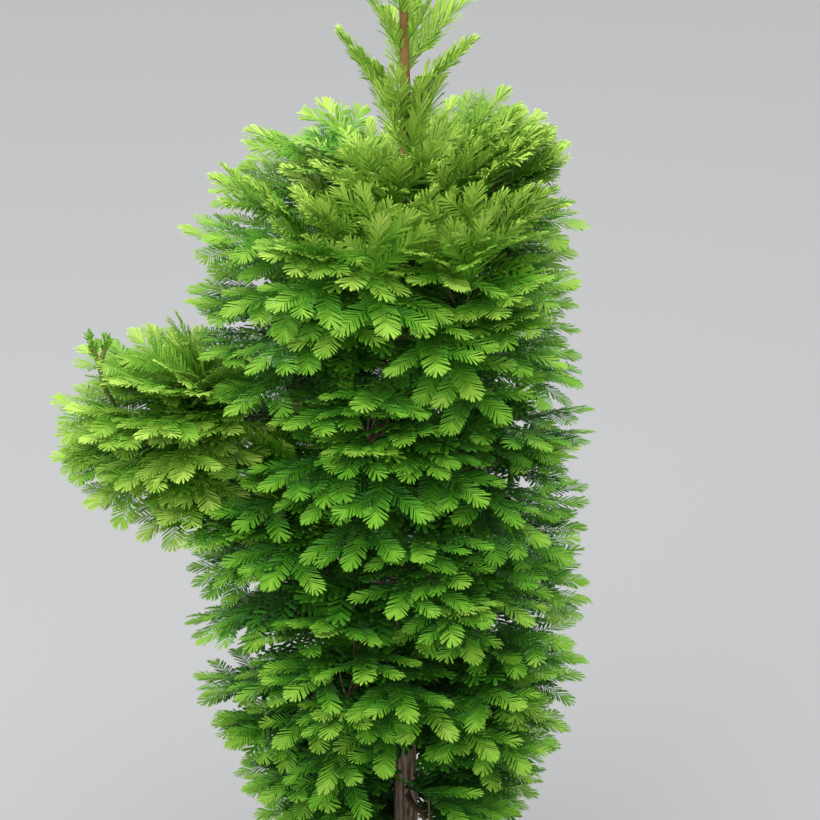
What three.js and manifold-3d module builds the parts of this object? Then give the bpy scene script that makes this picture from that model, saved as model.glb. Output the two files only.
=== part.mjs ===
// A young columnar bald cypress that is rooted in the ground, in millimetres with +Z up.
// The origin is the centre of the flat cut under the trunk, and the crown's long arm grows towards -X.
// The trunk runs whole to the tip of its leader. Short boughs spiral up it, one longer arm forks, and
// every limb carries one mass: a stem, twigs that branch from it by a seeded rule, and flat sprays.
import * as THREE from "three";
import { mergeVertices } from "three/addons/utils/BufferGeometryUtils.js";
import Module from "manifold-3d";

const wasm = await Module();
wasm.setup();

// Driving sizes of the trunk: a power taper, a lobed root flare and a slight sway.
const TRUNK = {
  height: 692,
  tipRadius: 2.1,
  taperRadius: 6.5,
  taperPower: 0.8,
  flareRadius: 5.5,
  flareHeight: 17,
  flareLobes: 5,
  lobeDepth: 0.16,
  sway: 2.4,
  swayWave: 470,
  sides: 12,
  steps: 18,
};

// The crown is a column that rounds off at its foot and its shoulder, a little wider on the arm's side.
// Its shoulder slants down to that side, and its foot slants up on the other.
const CROWN = {
  foot: 66,
  footSlant: 30,
  shoulder: 636,
  shoulderSlant: 7,
  footReach: 144,
  shoulderReach: 119,
  footRoundness: 2.4,
  shoulderRoundness: 6,
  lopsided: 0.07,
  tips: 262,
};

// Boughs of the column in a golden-angle spiral: the lowest is so far above the crown's foot, the highest
// so far above the ground.
const BOUGHS = { count: 23, low: 32, high: 544, share: 0.33, thick: 2.3, thin: 1.7, turnJitter: 14 };

// The long arm, and the four forks that spread from it.
const ARM = { height: 338, azimuth: 186, lift: 25, length: 104, thick: 4.3, thin: 2.9 };
const FORKS = [
  { name: "arm_fork_front", along: 0.52, azimuth: 220, lift: 2, reach: 112 },
  { name: "arm_fork_back", along: 0.6, azimuth: 142, lift: 6, reach: 104 },
  { name: "arm_fork_upper", along: 0.8, azimuth: 172, lift: 48, reach: 100 },
  { name: "arm_fork_end", along: 1, azimuth: 186, lift: 8, reach: 122 },
];
const FORK = { share: 0.36, thick: 2.4, thin: 1.6 };
const ARM_CROWN = { x: -147, y: -20, z: 415, sizeX: 70, sizeY: 69, sizeZ: 68, tips: 44, sprayScale: 0.8 };
const ARM_ROOM = { height: 34, turn: 34 }; // no bough of the column starts as near to the arm as this

// Short shoots straight on the leader, from the lowest to the one on its tip.
const LEADER_SHOOTS = [
  { height: 594, azimuth: 262, lift: 44, reach: 58 },
  { height: 608, azimuth: 176, lift: 43, reach: 54 },
  { height: 614, azimuth: 338, lift: 36, reach: 52 },
  { height: 622, azimuth: 82, lift: 42, reach: 54 },
  { height: 634, azimuth: 14, lift: 40, reach: 54 },
  { height: TRUNK.height, azimuth: 205, lift: 76, reach: 40 },
];
const SHOOT_SPRAY_SCALE = 0.68;
const SHOOT_SPREAD = 28;

// Stems, twigs and sprays inside a mass.
const STEM = { thick: 1.7, thin: 1.45, share: 0.66, sides: 4, steps: 2 };
const TWIG = { thick: 1, leaveAngle: 40, shortest: 10 };
const SPRAY = {
  length: 80,
  width: 58,
  stalk: 0.75,
  rib: 1.7,
  sag: 0.14,
  roll: 38,
  sink: 0.4,
};

// A twig that doesn't fit its space is tried again, drawn in towards its limb, with a smaller spray that is
// rolled the other way.
const TRIES = [];
for (const scale of [1, 0.9, 0.8, 0.7, 0.6]) {
  for (const spread of [1, 0.85, 0.7]) TRIES.push({ spread, scale, roll: 1 }, { spread, scale, roll: -1 });
}

const GAP = 0.3; // clear space between a limb and what carries it
const SPACE = 1.7; // how much nearer a leaf stays to its own limb than to any other
const TRUNK_ROOM = 3; // clear space between the trunk's bark and a leaf
const GROUND_ROOM = 30; // no leaf hangs lower than this
const SEED = 41;
const WELD = 1e-3;
const SLIVER = 0.08; // edges shorter than this are closed up where solids are joined
const GOLDEN_ANGLE = 137.508;
const UP = new THREE.Vector3(0, 0, 1);

const BARK = new THREE.MeshStandardMaterial({ color: 0x6a4a38, roughness: 0.9, metalness: 0 });
const YOUNG_BARK = new THREE.MeshStandardMaterial({ color: 0x7a5236, roughness: 0.85, metalness: 0 });
const NEEDLES = new THREE.MeshStandardMaterial({ color: 0x5c9a2c, roughness: 0.6, metalness: 0 });

const { degToRad, lerp, clamp } = THREE.MathUtils;

// Numbers from 0 to 1 that are the same on every run.
function seededRandom(seed) {
  let state = seed >>> 0;
  return () => {
    state = (state + 0x6d2b79f5) >>> 0;
    let mixed = Math.imul(state ^ (state >>> 15), state | 1);
    mixed ^= mixed + Math.imul(mixed ^ (mixed >>> 7), mixed | 61);
    return ((mixed ^ (mixed >>> 14)) >>> 0) / 4294967296;
  };
}

// The unit vector at an azimuth from +X and a lift above the horizon, in degrees.
function pointing(azimuth, lift) {
  const turn = degToRad(azimuth);
  const rise = degToRad(lift);
  return new THREE.Vector3(
    Math.cos(turn) * Math.cos(rise),
    Math.sin(turn) * Math.cos(rise),
    Math.sin(rise),
  );
}

function trunkCentre(z) {
  const turn = (2 * Math.PI * z) / TRUNK.swayWave;
  const grown = Math.min(1, z / 100);
  return new THREE.Vector3(
    grown * TRUNK.sway * Math.sin(turn),
    grown * TRUNK.sway * 0.7 * (Math.cos(turn * 0.8) - 1),
    z,
  );
}

function trunkRadius(z) {
  const left = Math.max(0, 1 - z / TRUNK.height);
  const taper = TRUNK.tipRadius + TRUNK.taperRadius * left ** TRUNK.taperPower;
  return taper + TRUNK.flareRadius * Math.exp(-z / TRUNK.flareHeight);
}

function crownFoot(azimuth) {
  return CROWN.foot + CROWN.footSlant * Math.max(0, Math.cos(degToRad(azimuth)));
}

function crownShoulder(azimuth) {
  return CROWN.shoulder + CROWN.shoulderSlant * Math.cos(degToRad(azimuth));
}

// How far up the crown a height is: 0 at its foot and 1 at its shoulder.
function crownShare(z, foot = CROWN.foot, shoulder = CROWN.shoulder) {
  return clamp((z - foot) / (shoulder - foot), 0, 1);
}

// The column's radius at a height and azimuth.
function crownReach(z, azimuth) {
  const share = crownShare(z, crownFoot(azimuth), crownShoulder(azimuth));
  const fromMiddle = 2 * share - 1;
  const roundness = fromMiddle < 0 ? CROWN.footRoundness : CROWN.shoulderRoundness;
  const side = 1 - CROWN.lopsided * Math.cos(degToRad(azimuth));
  const width = lerp(CROWN.footReach, CROWN.shoulderReach, share);
  return width * side * Math.sqrt(1 - Math.abs(fromMiddle) ** roundness);
}

// Boughs climb more steeply near the top, and sprays turn from drooping to rising.
function boughLift(z) {
  return 8 + 10 * crownShare(z) + 22 * crownShare(z) ** 4;
}

function sprayLift(z) {
  return -5 + 9 * crownShare(z) + 50 * crownShare(z) ** 6;
}

// A closed geometry as a solid, with its shared corners merged.
function solidFrom(geometry) {
  const bare = new THREE.BufferGeometry();
  bare.setAttribute("position", geometry.getAttribute("position"));
  bare.setIndex(geometry.index);
  const welded = mergeVertices(bare, WELD);
  return new wasm.Manifold(
    new wasm.Mesh({
      numProp: 3,
      vertProperties: new Float32Array(welded.attributes.position.array),
      triVerts: new Uint32Array(welded.index.array),
    }),
  );
}

function geometryFrom(solid) {
  const { vertProperties, triVerts } = solid.getMesh();
  const geometry = new THREE.BufferGeometry();
  geometry.setAttribute("position", new THREE.BufferAttribute(vertProperties, 3));
  geometry.setIndex(new THREE.BufferAttribute(triVerts, 1));
  return geometry;
}

function meshFrom(name, solid, material) {
  const geometry = geometryFrom(solid);
  geometry.computeVertexNormals();
  const mesh = new THREE.Mesh(geometry, material);
  mesh.name = name;
  return mesh;
}

// The trunk as a turned profile, then swayed and lobed. Extra makes it fatter, to cut seats with.
function trunkSolid(extra = 0) {
  const heights = Array.from({ length: TRUNK.steps + 1 }, (_, i) => {
    return TRUNK.height * (i / TRUNK.steps) ** 1.5;
  });
  const profile = heights.map((z) => new THREE.Vector2(trunkRadius(z) + extra, z));
  profile.unshift(new THREE.Vector2(0, 0));
  profile.push(new THREE.Vector2(0, TRUNK.height));
  const geometry = new THREE.LatheGeometry(profile, TRUNK.sides).rotateX(Math.PI / 2);
  const position = geometry.getAttribute("position");
  for (let i = 0; i < position.count; i++) {
    const z = position.getZ(i);
    const turn = Math.atan2(position.getY(i), position.getX(i));
    const flare = Math.exp(-z / TRUNK.flareHeight);
    const lobe = 1 + TRUNK.lobeDepth * flare * Math.cos(TRUNK.flareLobes * turn);
    const centre = trunkCentre(z);
    position.setXYZ(i, centre.x + position.getX(i) * lobe, centre.y + position.getY(i) * lobe, z);
  }
  return solidFrom(geometry);
}

// A round limb along a curve, thick at its foot and thin at its tip.
function limbSolid(curve, thick, thin, sides, steps) {
  const geometry = new THREE.CylinderGeometry(1, 1, 1, sides, steps);
  const frames = curve.computeFrenetFrames(steps);
  const position = geometry.getAttribute("position");
  for (let i = 0; i < position.count; i++) {
    const along = position.getY(i) + 0.5;
    const step = Math.round(along * steps);
    const radius = lerp(thick, thin, along);
    const spot = curve.getPointAt(along);
    spot.addScaledVector(frames.binormals[step], position.getX(i) * radius);
    spot.addScaledVector(frames.normals[step], position.getZ(i) * radius);
    position.setXYZ(i, spot.x, spot.y, spot.z);
  }
  return solidFrom(geometry);
}

// A curve from one point to another that starts out along a given way.
function bend(from, way, to, stiffness = 0.5) {
  const middle = from.clone().addScaledVector(way, from.distanceTo(to) * stiffness);
  return new THREE.QuadraticBezierCurve3(from, middle, to);
}

// One limb: its foot, the way that it points, how far its mass reaches, and its own length.
function makeLimb(name, massName, foot, way, reach, length, thick, thin) {
  const tip = foot.clone().addScaledVector(way, length);
  const lower = way.clone().addScaledVector(UP, -0.25).normalize();
  const curve = bend(foot, lower, tip);
  const axis = new THREE.Line3(foot, foot.clone().addScaledVector(way, reach));
  return { name, massName, foot, tip, way, reach, length, thick, thin, curve, axis };
}

// Where the boughs of the column start and which way they turn, without those that the arm leaves no room.
function boughPlaces() {
  const places = Array.from({ length: BOUGHS.count }, (_, index) => {
    const random = seededRandom(SEED + index);
    const azimuth = (index * GOLDEN_ANGLE + (random() - 0.5) * BOUGHS.turnJitter) % 360;
    const z = lerp(crownFoot(azimuth) + BOUGHS.low, BOUGHS.high, index / (BOUGHS.count - 1));
    return { z, azimuth };
  });
  return places.filter(({ z, azimuth }) => {
    return Math.abs(z - ARM.height) > ARM_ROOM.height || Math.abs(azimuth - ARM.azimuth) > ARM_ROOM.turn;
  });
}

function columnLimb({ z, azimuth }, index) {
  const number = String(index + 1).padStart(2, "0");
  const lift = boughLift(z);
  const tipHeight = z + crownReach(z, azimuth) * Math.tan(degToRad(lift));
  const reach = crownReach(tipHeight, azimuth) / Math.cos(degToRad(lift));
  const way = pointing(azimuth, lift);
  const length = reach * BOUGHS.share;
  const foot = trunkCentre(z);
  return makeLimb(`bough_${number}`, `foliage_${number}`, foot, way, reach, length, BOUGHS.thick, BOUGHS.thin);
}

function armLimb() {
  const way = pointing(ARM.azimuth, ARM.lift);
  return makeLimb("arm", null, trunkCentre(ARM.height), way, ARM.length, ARM.length, ARM.thick, ARM.thin);
}

function forkLimb(fork, arm) {
  const way = pointing(fork.azimuth, fork.lift);
  const foot = arm.curve.getPointAt(fork.along);
  const massName = fork.name.replace("fork", "foliage");
  return makeLimb(fork.name, massName, foot, way, fork.reach, fork.reach * FORK.share, FORK.thick, FORK.thin);
}

function leaderShoot(shoot, index) {
  const way = pointing(shoot.azimuth, shoot.lift);
  const foot = trunkCentre(shoot.height);
  if (shoot.height === TRUNK.height) foot.z += GAP;
  return makeLimb(null, `leader_shoot_${index + 1}`, foot, way, shoot.reach, 0, 0, 0);
}

// Where a twig ends: a tip on the crown's surface and the way that its last spray points.
function columnTip(index) {
  const random = seededRandom(SEED * 7 + index);
  const azimuth = index * GOLDEN_ANGLE;
  const z = lerp(crownFoot(azimuth) + 18, crownShoulder(azimuth) - 22, (index + 0.5) / CROWN.tips);
  const way = pointing(azimuth + (random() - 0.5) * 20, sprayLift(z) + (random() - 0.5) * 14);
  const reach = crownReach(z, azimuth) * lerp(0.92, 1.04, random());
  const spot = trunkCentre(z).addScaledVector(pointing(azimuth, 0), reach);
  return { spot, way, scale: 1, lag: random(), roll: degToRad((random() - 0.5) * 2 * SPRAY.roll) };
}

// Tips of a leader shoot: its own end, and one to each side of it, further round on a steeper shoot.
function shootTips(shoot) {
  return [0, -1, 1].map((sign) => {
    const turn = (sign * SHOOT_SPREAD) / Math.hypot(shoot.way.x, shoot.way.y);
    const way = shoot.way.clone().applyAxisAngle(UP, degToRad(turn));
    const spot = shoot.foot.clone().addScaledVector(way, shoot.reach * (sign ? 0.86 : 1));
    return { spot, way, scale: SHOOT_SPRAY_SCALE, lag: (sign + 1) / 2, roll: degToRad(sign * 17) };
  });
}

function armTipHabit(index) {
  const random = seededRandom(SEED * 11 + index);
  const roll = degToRad((random() - 0.5) * 2 * SPRAY.roll);
  return { scale: ARM_CROWN.sprayScale, lag: random(), roll };
}

// Tips of the arm's own small crown, spread evenly over an ellipsoid on the side away from the trunk.
function armTips() {
  const tips = [];
  for (let index = 0; index < ARM_CROWN.tips; index++) {
    const rise = 1 - (2 * index + 1) / ARM_CROWN.tips;
    const flat = Math.sqrt(1 - rise * rise);
    const turn = degToRad(index * GOLDEN_ANGLE);
    const out = new THREE.Vector3(flat * Math.cos(turn), flat * Math.sin(turn), rise);
    const spot = new THREE.Vector3(
      ARM_CROWN.x + ARM_CROWN.sizeX * out.x,
      ARM_CROWN.y + ARM_CROWN.sizeY * out.y,
      ARM_CROWN.z + ARM_CROWN.sizeZ * out.z,
    );
    const way = new THREE.Vector3(out.x - 0.35, out.y, out.z * 0.6 + 0.1).normalize();
    if (out.x < 0.35) tips.push({ spot, way, ...armTipHabit(index) });
  }
  return tips;
}

function distanceTo(axis, point) {
  return axis.closestPointToPoint(point, true, new THREE.Vector3()).distanceTo(point);
}

// True where every point is nearer to its own limb than to any other, off the trunk and off the ground.
function keepsToItsSpace(points, { own, limbs }) {
  return points.every((point) => {
    const trunk = trunkCentre(Math.min(point.z, TRUNK.height));
    if (point.z < GROUND_ROOM) return false;
    if (point.distanceTo(trunk) < trunkRadius(point.z) + TRUNK_ROOM) return false;
    const near = distanceTo(own.axis, point) + SPACE;
    return limbs.every((other) => other === own || distanceTo(other.axis, point) > near);
  });
}

// The right half of a spray's outline, from its root to its tip, as shares of its half width and length,
// and its rib, as shares of its height and length.
const SPRAY_EDGE = [
  [0, 0],
  [0.62, 0.3],
  [0.3, 0.34],
  [1, 0.62],
  [0.36, 0.66],
  [0.76, 0.87],
  [0.24, 0.89],
  [0, 1],
];
const SPRAY_RIB = [
  [0, 0],
  [1, 0.04],
  [1, 0.55],
  [0, 1],
];
// Corners of a spray: its edge on the right and left, and its rib above them. A spray is rolled about its
// length and arched along it. On a twig its root is as wide as the twig's end.
function sprayCorners({ root, way, length, width, roll, stalk }) {
  const side = new THREE.Vector3().crossVectors(way, UP).normalize().applyAxisAngle(way, roll);
  const over = new THREE.Vector3().crossVectors(side, way);
  const place = (across, along, rise) => {
    return root
      .clone()
      .addScaledVector(side, across)
      .addScaledVector(way, along * length)
      .addScaledVector(over, rise - SPRAY.sag * along * along * length);
  };
  const atRoot = (along) => (along ? 0 : stalk);
  const edge = (sign) => {
    return SPRAY_EDGE.map(([across, along]) => place(sign * ((across * width) / 2 + atRoot(along)), along, 0));
  };
  const above = SPRAY_RIB.map(([rise, along]) => place(0, along, rise * SPRAY.rib + 2 * atRoot(along)));
  return { right: edge(1), left: edge(-1), above };
}

// The same corners with the foot of a three-sided twig before them, so that the twig runs into the spray.
function withTwig({ right, left, above }, twig, roll) {
  const way = twig.getTangentAt(0);
  const side = new THREE.Vector3().crossVectors(way, UP).normalize().applyAxisAngle(way, roll);
  const over = new THREE.Vector3().crossVectors(side, way);
  const foot = [-30, 210, 90].map((turn) => {
    const out = side.clone().multiplyScalar(Math.cos(degToRad(turn)));
    out.addScaledVector(over, Math.sin(degToRad(turn)));
    return twig.getPointAt(0).addScaledVector(out, TWIG.thick);
  });
  return { right: [foot[0], ...right], left: [foot[1], ...left], above: [foot[2], ...above] };
}

// Adds a triangle, unless two of its corners fall together.
function addTriangle(points, a, b, c) {
  if (!a.equals(b) && !b.equals(c) && !c.equals(a)) points.push(a, b, c);
}

// Fills the strip between an edge and the rib, which meet at their tips.
function fillTop(points, edge, rib, turned) {
  const hasTwig = edge.length > SPRAY_EDGE.length;
  const foot = hasTwig ? [-1] : [];
  const edgePlaces = [...foot, ...SPRAY_EDGE.map(([, along]) => along), Infinity];
  const ribPlaces = [...foot, ...SPRAY_RIB.map(([, along]) => along), Infinity];
  let i = 0;
  let j = 0;
  while (i < edge.length - 1 || j < rib.length - 1) {
    const isEdgeNext = edgePlaces[i + 1] <= ribPlaces[j + 1];
    const triangle = isEdgeNext ? [edge[i], edge[++i], rib[j]] : [edge[i], rib[j + 1], rib[j++]];
    addTriangle(points, ...(turned ? triangle.reverse() : triangle));
  }
}

// A spray as a closed blade: two strips on top, a flat underside and the cut end of its stalk or twig.
function spraySolid({ right, left, above }) {
  const points = [];
  fillTop(points, right, above, false);
  fillTop(points, left, above, true);
  for (let i = 0; i < right.length - 1; i++) {
    addTriangle(points, right[i], left[i], left[i + 1]);
    addTriangle(points, right[i], left[i + 1], right[i + 1]);
  }
  addTriangle(points, right[0], above[0], left[0]);
  return solidFrom(new THREE.BufferGeometry().setFromPoints(points));
}

function isClearOf(solid, others) {
  return others.every((other) => other.intersect(solid).isEmpty());
}

// A spray's solid, or null where it leaves its space or would cut through another twig's sprays.
function leafSolid(spray, space, twig) {
  const corners = sprayCorners(spray);
  if (!keepsToItsSpace([...corners.right, ...corners.left], space)) return null;
  const solid = spraySolid(corners);
  if (!isClearOf(solid, [space.seat, ...space.grown])) return null;
  return twig ? spraySolid(withTwig(corners, twig, spray.roll)) : solid;
}

// The stem of a mass: it goes on from its bough's tip, or from the trunk where the limb has no bough.
function stemCurve(limb) {
  const way = limb.length ? limb.curve.getTangentAt(1) : limb.way;
  const from = limb.tip.clone().addScaledVector(way, limb.length ? GAP : 0);
  const to = limb.foot.clone().addScaledVector(limb.way, limb.reach * STEM.share);
  return bend(from, way, to);
}

// The place on a stem where a twig to a tip leaves it, at about the leaving angle.
function leavingPlace(stem, tip) {
  const from = stem.getPointAt(0);
  const line = stem.getPointAt(1).sub(from);
  const ahead = tip.spot.clone().sub(from).dot(line) / line.lengthSq();
  const aside = tip.spot.clone().sub(from).addScaledVector(line, -ahead).length();
  const back = aside / Math.tan(degToRad(TWIG.leaveAngle)) / line.length();
  return clamp(ahead - back, 0.08 + 0.3 * tip.lag, 0.95);
}

// A spray for one tip, with the twig that carries it where the stem is too far off, or null where either
// leaves its space. A spray without a twig has its root sunk past the middle of the stem.
function growSpray(stem, tip, scale, space) {
  const place = leavingPlace(stem, tip);
  const start = stem.getPointAt(place);
  const straight = tip.spot.clone().sub(start);
  const way = straight.clone().normalize().add(tip.way).normalize();
  const length = Math.min(SPRAY.length * scale, straight.length() + SPRAY.sink);
  const size = { length, width: (SPRAY.width * (length + SPRAY.length * scale)) / SPRAY.length / 2, roll: tip.roll };
  const root = tip.spot.clone().addScaledVector(way, -length);
  if (root.distanceTo(start) < TWIG.shortest) {
    const sunk = start.addScaledVector(way, -SPRAY.sink);
    return leafSolid({ ...size, root: sunk, way, stalk: 0 }, space);
  }
  const leaving = root.clone().sub(start).normalize().add(stem.getTangentAt(place)).normalize();
  const twig = bend(start, leaving, root, 0.3);
  const solid = leafSolid({ ...size, root, way, stalk: SPRAY.stalk }, space, twig);
  const isFree = solid && keepsToItsSpace(twig.getPoints(4), space) && isClearOf(solid, [space.seat]);
  return isFree ? solid : null;
}

// A tip that is drawn in towards the axis of its limb.
function drawnIn(tip, axis, spread) {
  const nearest = axis.closestPointToPoint(tip.spot, true, new THREE.Vector3());
  const aside = tip.spot.clone().sub(nearest);
  const ahead = axis.delta(new THREE.Vector3()).normalize();
  const forward = ahead.multiplyScalar(aside.dot(ahead));
  const spot = nearest.add(forward).addScaledVector(aside.sub(forward), spread);
  return { ...tip, spot };
}

// The largest body of a joined solid: a scrap that touches nothing is dropped, a sealed hollow is filled.
function largestBody(solid) {
  return solid.decompose().reduce((best, body) => (body.volume() > best.volume() ? body : best));
}

// A joined solid without its slivers, as one body that stays whole when its corners are welded.
function cleanBody(solid) {
  let body = largestBody(solid.simplify(SLIVER));
  for (let pass = 0; pass < 3; pass++) body = largestBody(solidFrom(geometryFrom(body)));
  return body;
}

// True where every edge of the welded solid lies between exactly two triangles.
function isSound(solid) {
  const index = mergeVertices(geometryFrom(solid), WELD).index.array;
  const uses = new Map();
  for (let i = 0; i < index.length; i++) {
    const next = i % 3 === 2 ? i - 2 : i + 1;
    const edge = [index[i], index[next]].sort((a, b) => a - b).join();
    uses.set(edge, (uses.get(edge) ?? 0) + 1);
  }
  return [...uses.values()].every((count) => count === 2);
}

// A mass: its stem, with a spray for every tip, at the first try that fits its space and joins on cleanly.
function massSolid(own, tips, limbs, trunkSeat) {
  const seat = own.length ? limbSolid(own.curve, own.thick + GAP, own.thin + GAP, 5, 2) : trunkSeat;
  const stem = stemCurve(own);
  const space = { own, limbs, seat, grown: [] };
  let body = cleanBody(limbSolid(stem, STEM.thick, STEM.thin, STEM.sides, STEM.steps).subtract(seat));
  for (const tip of tips) {
    for (const { spread, scale, roll } of TRIES) {
      const tried = { ...drawnIn(tip, own.axis, spread), roll: tip.roll * roll };
      const spray = growSpray(stem, tried, scale * tip.scale, space);
      const joined = spray && cleanBody(body.add(spray));
      if (joined && isSound(joined)) {
        body = joined;
        space.grown.push(spray);
        break;
      }
    }
  }
  return body;
}

function nearestLimb(point, limbs) {
  return limbs.reduce((best, limb) => {
    return distanceTo(limb.axis, point) < distanceTo(best.axis, point) ? limb : best;
  });
}

function buildTree() {
  const tree = new THREE.Group();
  tree.name = "bald_cypress";
  const arm = armLimb();
  const column = boughPlaces().map(columnLimb);
  const forks = FORKS.map((fork) => forkLimb(fork, arm));
  const shoots = LEADER_SHOOTS.map(leaderShoot);
  const limbs = [...column, arm, ...forks, ...shoots];

  tree.add(meshFrom("trunk", trunkSolid(), BARK));
  const trunkSeat = trunkSolid(GAP);
  const armSeat = limbSolid(arm.curve, arm.thick + GAP, arm.thin + GAP, 8, 2);
  for (const limb of [...column, arm]) {
    const solid = limbSolid(limb.curve, limb.thick, limb.thin, limb === arm ? 8 : 5, 2);
    tree.add(meshFrom(limb.name, largestBody(solid.subtract(trunkSeat)), YOUNG_BARK));
  }
  for (const fork of forks) {
    const solid = limbSolid(fork.curve, fork.thick, fork.thin, 5, 2);
    tree.add(meshFrom(fork.name, largestBody(solid.subtract(armSeat)), YOUNG_BARK));
  }

  const tipsOf = new Map(limbs.map((limb) => [limb, []]));
  const columnTips = Array.from({ length: CROWN.tips }, (_, index) => columnTip(index));
  for (const tip of [...columnTips, ...armTips()]) {
    const middle = tip.spot.clone().addScaledVector(tip.way, -SPRAY.length / 2);
    tipsOf.get(nearestLimb(middle, limbs)).push(tip);
  }
  for (const shoot of shoots) tipsOf.get(shoot).push(...shootTips(shoot));
  for (const limb of limbs.filter((each) => each.massName)) {
    const solid = massSolid(limb, tipsOf.get(limb), limbs, trunkSeat);
    tree.add(meshFrom(limb.massName, solid, NEEDLES));
  }
  return tree;
}

export default buildTree();
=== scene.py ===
# A young columnar bald cypress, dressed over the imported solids: the same trunk, boughs and arm with their
# bark, and the same seeded crown carried on to needles. Metres, +Z up, the crown's long arm towards -X.
import math

import bmesh
import bpy
import numpy as np
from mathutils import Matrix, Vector, noise


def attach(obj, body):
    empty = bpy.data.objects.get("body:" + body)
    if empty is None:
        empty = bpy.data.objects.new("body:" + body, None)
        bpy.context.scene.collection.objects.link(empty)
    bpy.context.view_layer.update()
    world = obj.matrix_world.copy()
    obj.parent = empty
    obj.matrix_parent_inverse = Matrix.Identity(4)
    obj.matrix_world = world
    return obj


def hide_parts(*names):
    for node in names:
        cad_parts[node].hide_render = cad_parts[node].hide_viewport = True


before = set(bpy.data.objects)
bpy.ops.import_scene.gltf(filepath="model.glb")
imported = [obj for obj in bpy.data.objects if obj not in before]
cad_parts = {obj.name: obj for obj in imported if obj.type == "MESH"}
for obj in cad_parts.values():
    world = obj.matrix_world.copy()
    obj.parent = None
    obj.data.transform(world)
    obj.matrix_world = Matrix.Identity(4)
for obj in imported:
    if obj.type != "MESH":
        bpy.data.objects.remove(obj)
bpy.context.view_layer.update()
print("frame loaded:", len(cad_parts), "solids")

seed = 41
goldenAngle = 137.508
up = np.array((0.0, 0.0, 1.0))
dice = np.random.default_rng(seed)


# small helpers

def unit(vector):
    return vector / np.linalg.norm(vector, axis=-1, keepdims=True)


def lerp(low, high, share):
    return low + (high - low) * share


def smoothStep(low, high, value):
    share = np.clip((value - low) / (high - low), 0, 1)
    return share * share * (3 - 2 * share)


def pointing(azimuth, lift):  # degrees from +X, and degrees above the horizon
    turn, rise = math.radians(azimuth), math.radians(lift)
    return np.array((math.cos(turn) * math.cos(rise), math.sin(turn) * math.cos(rise), math.sin(rise)))


def turned(vector, axis, angle):  # about a unit axis, in radians
    return (vector * math.cos(angle) + np.cross(axis, vector) * math.sin(angle)
            + axis * np.dot(axis, vector) * (1 - math.cos(angle)))


def seededRandom(number):  # the same run of numbers from 0 to 1 as in the part's source
    state = number & 0xFFFFFFFF

    def draw():
        nonlocal state
        state = (state + 0x6D2B79F5) & 0xFFFFFFFF
        mixed = ((state ^ state >> 15) * (state | 1)) & 0xFFFFFFFF
        mixed ^= (mixed + (mixed ^ mixed >> 7) * (mixed | 61)) & 0xFFFFFFFF
        return (mixed ^ mixed >> 14) / 4294967296

    return draw


def jitter(draw, width):  # a drawn number, as far below nought as above it
    return (draw() - 0.5) * width


# a curve is three points: where it starts, the point that it leaves towards, and where it ends

def bend(start, way, end, stiffness=0.5):
    return np.array((start, start + way * np.linalg.norm(end - start) * stiffness, end))


def pointOn(curve, share):
    start, middle, end = curve
    return start * (1 - share) ** 2 + middle * 2 * share * (1 - share) + end * share ** 2


def headingOn(curve, share):
    start, middle, end = curve
    return unit((middle - start) * (1 - share) + (end - middle) * share)


# the trunk and the crown's outline, by the rule of the part's source

trunk = dict(height=0.692, tipRadius=0.0021, taper=0.0065, taperPower=0.8, flare=0.0055, flareHeight=0.017,
             flareLobes=5, lobeDepth=0.16, sway=0.0024, swayWave=0.47, swayFrom=0.1, sideSway=0.7,
             sideWave=0.8)
crown = dict(foot=0.066, footSlant=0.03, shoulder=0.636, shoulderSlant=0.007, footReach=0.144,
             shoulderReach=0.119, footRound=2.4, shoulderRound=6, lopsided=0.07)


def trunkCentre(z):
    turn = 2 * math.pi * z / trunk["swayWave"]
    sway = trunk["sway"] * min(1, z / trunk["swayFrom"])
    return np.array((sway * math.sin(turn),
                     sway * trunk["sideSway"] * (math.cos(turn * trunk["sideWave"]) - 1), z))


def trunkRadius(z):
    left = max(0, 1 - z / trunk["height"])
    return (trunk["tipRadius"] + trunk["taper"] * left ** trunk["taperPower"]
            + trunk["flare"] * math.exp(-z / trunk["flareHeight"]))


def crownFoot(azimuth):
    return crown["foot"] + crown["footSlant"] * max(0, math.cos(math.radians(azimuth)))


def crownShoulder(azimuth):
    return crown["shoulder"] + crown["shoulderSlant"] * math.cos(math.radians(azimuth))


def crownShare(z, foot=crown["foot"], shoulder=crown["shoulder"]):  # 0 at the foot, 1 at the shoulder
    return min(1, max(0, (z - foot) / (shoulder - foot)))


def crownReach(z, azimuth):
    share = crownShare(z, crownFoot(azimuth), crownShoulder(azimuth))
    fromMiddle = 2 * share - 1
    roundness = crown["footRound"] if fromMiddle < 0 else crown["shoulderRound"]
    side = 1 - crown["lopsided"] * math.cos(math.radians(azimuth))
    width = lerp(crown["footReach"], crown["shoulderReach"], share)
    return width * side * math.sqrt(1 - abs(fromMiddle) ** roundness)


# how steep boughs and sprays are: degrees at the crown's foot, and what its height and its top add

boughRise = dict(foot=8, gain=10, top=22, topPower=4)
sprayRise = dict(foot=-5, gain=9, top=50, topPower=6)


def liftAt(rise, z):
    share = crownShare(z)
    return rise["foot"] + rise["gain"] * share + rise["top"] * share ** rise["topPower"]


# the boughs, the arm and the leader's shoots, by the rule of the part's source

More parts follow.
